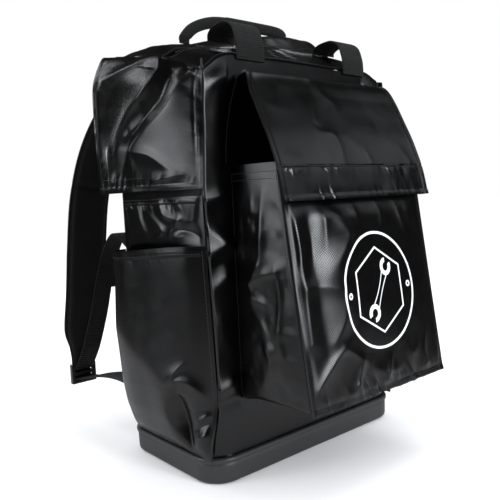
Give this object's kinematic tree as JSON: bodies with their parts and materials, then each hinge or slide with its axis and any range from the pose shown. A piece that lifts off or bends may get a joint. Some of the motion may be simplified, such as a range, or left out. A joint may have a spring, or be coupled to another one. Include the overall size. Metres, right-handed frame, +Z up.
{
  "type": "tool backpack",
  "caption": "Stand-up tool backpack in glossy coated cloth: moulded base tray, zipped domed top, deep bellows front pocket under a long flap, side pockets with flaps, padded shoulder straps",
  "frame": {"origin": "middle of the tray's flat underside, on the surface that the pack stands on", "axes": "+X is the wearer's left, -Y is the front with the large pocket, +Z is up"},
  "size_m": [0.3438, 0.3909, 0.506],
  "materials": {
    "coated_cloth": "glossy vinyl-coated woven cloth",
    "tray_plastic": "satin moulded plastic",
    "webbing": "matte ribbed webbing",
    "padding": "matte padded cloth",
    "black_plastic": "satin moulded plastic",
    "zipper": "coil zipper on matte tape"
  },
  "bodies": {
    "root": {"base_tray": "tray_plastic", "bag_body": "coated_cloth", "top_front_panel": "coated_cloth", "top_rear_panel": "coated_cloth", "zipper": "zipper", "zipper_slider": "black_plastic", "front_pocket_gusset": "coated_cloth", "front_pocket_panel": "coated_cloth", "front_flap_yoke": "coated_cloth", "front_flap": "coated_cloth", "back_panel": "padding", "grab_handle": "webbing", "lifting_loop_right": "webbing", "lifting_loop_left": "webbing", "chest_buckle": "black_plastic", "side_pocket_low_right": "coated_cloth", "side_pocket_high_right": "coated_cloth", "side_flap_right": "coated_cloth", "shoulder_pad_right": "padding", "adjuster_right": "black_plastic", "lower_strap_right": "webbing", "strap_tail_right": "webbing", "chest_strap_right": "webbing", "side_pocket_low_left": "coated_cloth", "side_pocket_high_left": "coated_cloth", "side_flap_left": "coated_cloth", "shoulder_pad_left": "padding", "adjuster_left": "black_plastic", "lower_strap_left": "webbing", "strap_tail_left": "webbing", "chest_strap_left": "webbing"}
  },
  "joints": []
}
